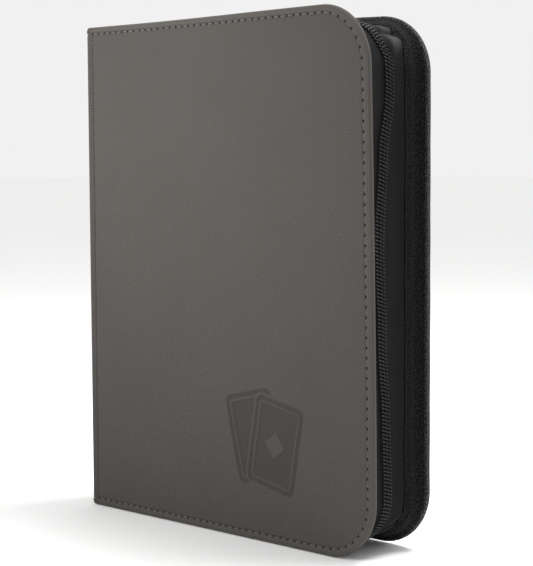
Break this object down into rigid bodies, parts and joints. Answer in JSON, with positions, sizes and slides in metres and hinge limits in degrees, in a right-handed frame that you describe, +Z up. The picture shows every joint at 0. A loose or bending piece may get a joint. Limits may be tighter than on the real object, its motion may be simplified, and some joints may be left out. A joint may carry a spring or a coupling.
{
  "type": "trading card binder",
  "caption": "Zip-up trading card binder with padded covers, stitched edges, a coil zip round three sides, and hinged leaves of side-loading card pockets.",
  "frame": {"origin": "middle of the foot print of the closed binder standing on its lower edge", "axes": "+Z up along the spine, -Y out of the front cover, -X out of the spine, +X towards the opening side"},
  "size_m": [0.192, 0.04, 0.245],
  "materials": {
    "grey_skin": "embossed twill PU, satin",
    "gusset_cloth": "embossed twill PU, matt",
    "zip_tape": "woven polyester tape",
    "zip_teeth": "nylon coil",
    "grey_thread": "twisted thread",
    "black_thread": "twisted thread",
    "foam": "closed-cell foam",
    "board": "grey board",
    "lining": "brushed lining cloth",
    "zip_metal": "gunmetal, semi-gloss",
    "pull_grip": "moulded, matt",
    "leaf_sheet": "black polypropylene",
    "pocket_film": "clear polypropylene film"
  },
  "bodies": {
    "spine": {"spine_skin": "grey_skin", "spine_board": "board", "spine_lining": "lining", "front_crease_skin": "grey_skin", "back_crease_skin": "grey_skin", "page_binding_strip": "lining", "zip_end_tab_top": "zip_tape", "zip_end_tab_bottom": "zip_tape"},
    "front_cover": {"front_skin": "grey_skin", "front_foam": "foam", "front_board": "board", "front_lining": "lining", "front_stitching": "grey_thread", "front_zip_tape": "zip_tape", "front_zip_coil": "zip_teeth", "front_zip_stop": "zip_metal"},
    "back_cover": {"back_skin": "grey_skin", "back_edge_facing": "gusset_cloth", "back_foam": "foam", "back_board": "board", "back_lining": "lining", "back_stitching": "grey_thread", "back_gusset": "gusset_cloth", "back_gusset_stitching": "black_thread", "back_zip_tape": "zip_tape", "back_zip_coil": "zip_teeth", "back_zip_stop": "zip_metal"},
    "zip_slider": {"zip_slider_body": "zip_metal", "zip_slider_bridge": "zip_metal"},
    "zip_pull": {"zip_pull_frame": "zip_metal", "zip_pull_grip": "pull_grip"},
    "leaf_01": {"leaf_01_sheet": "leaf_sheet", "leaf_01_pockets": "pocket_film"},
    "leaf_02": {"leaf_02_sheet": "leaf_sheet", "leaf_02_pockets": "pocket_film"},
    "leaf_03": {"leaf_03_sheet": "leaf_sheet", "leaf_03_pockets": "pocket_film"},
    "leaf_04": {"leaf_04_sheet": "leaf_sheet", "leaf_04_pockets": "pocket_film"},
    "leaf_05": {"leaf_05_sheet": "leaf_sheet", "leaf_05_pockets": "pocket_film"},
    "leaf_06": {"leaf_06_sheet": "leaf_sheet", "leaf_06_pockets": "pocket_film"},
    "leaf_07": {"leaf_07_sheet": "leaf_sheet", "leaf_07_pockets": "pocket_film"},
    "leaf_08": {"leaf_08_sheet": "leaf_sheet", "leaf_08_pockets": "pocket_film"},
    "leaf_09": {"leaf_09_sheet": "leaf_sheet", "leaf_09_pockets": "pocket_film"},
    "leaf_10": {"leaf_10_sheet": "leaf_sheet", "leaf_10_pockets": "pocket_film"},
    "leaf_11": {"leaf_11_sheet": "leaf_sheet", "leaf_11_pockets": "pocket_film"},
    "leaf_12": {"leaf_12_sheet": "leaf_sheet", "leaf_12_pockets": "pocket_film"}
  },
  "joints": [
    {"name": "front_cover_hinge", "type": "hinge", "parent": "spine", "child": "front_cover", "pos_m": [-0.0945, -0.0185, 0.1225], "axis": [0, 0, -1], "range_deg": [0, 90]},
    {"name": "back_cover_hinge", "type": "hinge", "parent": "spine", "child": "back_cover", "pos_m": [-0.0945, 0.0185, 0.1225], "axis": [0, 0, 1], "range_deg": [0, 90]},
    {"name": "zip_slide", "type": "slide", "parent": "back_cover", "child": "zip_slider", "axis": [1, 0, 0], "range_m": [0, 0.134]},
    {"name": "zip_pull_hinge", "type": "hinge", "parent": "zip_slider", "child": "zip_pull", "pos_m": [-0.074, -0.007, 0.24315], "axis": [0, -1, 0], "range_deg": [0, 160]},
    {"name": "leaf_01_hinge", "type": "hinge", "parent": "spine", "child": "leaf_01", "pos_m": [-0.0915, -0.01265, 0.1225], "axis": [0, 0, -1], "range_deg": [0, 83.8]},
    {"name": "leaf_02_hinge", "type": "hinge", "parent": "spine", "child": "leaf_02", "pos_m": [-0.0915, -0.01035, 0.1225], "axis": [0, 0, -1], "range_deg": [0, 72.1]},
    {"name": "leaf_03_hinge", "type": "hinge", "parent": "spine", "child": "leaf_03", "pos_m": [-0.0915, -0.00805, 0.1225], "axis": [0, 0, -1], "range_deg": [0, 60.4]},
    {"name": "leaf_04_hinge", "type": "hinge", "parent": "spine", "child": "leaf_04", "pos_m": [-0.0915, -0.00575, 0.1225], "axis": [0, 0, -1], "range_deg": [0, 47.8]},
    {"name": "leaf_05_hinge", "type": "hinge", "parent": "spine", "child": "leaf_05", "pos_m": [-0.0915, -0.00345, 0.1225], "axis": [0, 0, -1], "range_deg": [0, 35.2]},
    {"name": "leaf_06_hinge", "type": "hinge", "parent": "spine", "child": "leaf_06", "pos_m": [-0.0915, -0.00115, 0.1225], "axis": [0, 0, -1], "range_deg": [0, 20.8]},
    {"name": "leaf_07_hinge", "type": "hinge", "parent": "spine", "child": "leaf_07", "pos_m": [-0.0915, 0.00115, 0.1225], "axis": [0, 0, 1], "range_deg": [0, 20.8]},
    {"name": "leaf_08_hinge", "type": "hinge", "parent": "spine", "child": "leaf_08", "pos_m": [-0.0915, 0.00345, 0.1225], "axis": [0, 0, 1], "range_deg": [0, 35.2]},
    {"name": "leaf_09_hinge", "type": "hinge", "parent": "spine", "child": "leaf_09", "pos_m": [-0.0915, 0.00575, 0.1225], "axis": [0, 0, 1], "range_deg": [0, 47.8]},
    {"name": "leaf_10_hinge", "type": "hinge", "parent": "spine", "child": "leaf_10", "pos_m": [-0.0915, 0.00805, 0.1225], "axis": [0, 0, 1], "range_deg": [0, 60.4]},
    {"name": "leaf_11_hinge", "type": "hinge", "parent": "spine", "child": "leaf_11", "pos_m": [-0.0915, 0.01035, 0.1225], "axis": [0, 0, 1], "range_deg": [0, 72.1]},
    {"name": "leaf_12_hinge", "type": "hinge", "parent": "spine", "child": "leaf_12", "pos_m": [-0.0915, 0.01265, 0.1225], "axis": [0, 0, 1], "range_deg": [0, 83.8]}
  ],
  "couplings": [
    {"joint": "leaf_01_hinge", "follows": "front_cover_hinge", "ratio": 0.92},
    {"joint": "leaf_02_hinge", "follows": "front_cover_hinge", "ratio": 0.79},
    {"joint": "leaf_03_hinge", "follows": "front_cover_hinge", "ratio": 0.66},
    {"joint": "leaf_04_hinge", "follows": "front_cover_hinge", "ratio": 0.52},
    {"joint": "leaf_05_hinge", "follows": "front_cover_hinge", "ratio": 0.38},
    {"joint": "leaf_06_hinge", "follows": "front_cover_hinge", "ratio": 0.22},
    {"joint": "leaf_07_hinge", "follows": "back_cover_hinge", "ratio": 0.22},
    {"joint": "leaf_08_hinge", "follows": "back_cover_hinge", "ratio": 0.38},
    {"joint": "leaf_09_hinge", "follows": "back_cover_hinge", "ratio": 0.52},
    {"joint": "leaf_10_hinge", "follows": "back_cover_hinge", "ratio": 0.66},
    {"joint": "leaf_11_hinge", "follows": "back_cover_hinge", "ratio": 0.79},
    {"joint": "leaf_12_hinge", "follows": "back_cover_hinge", "ratio": 0.92}
  ]
}
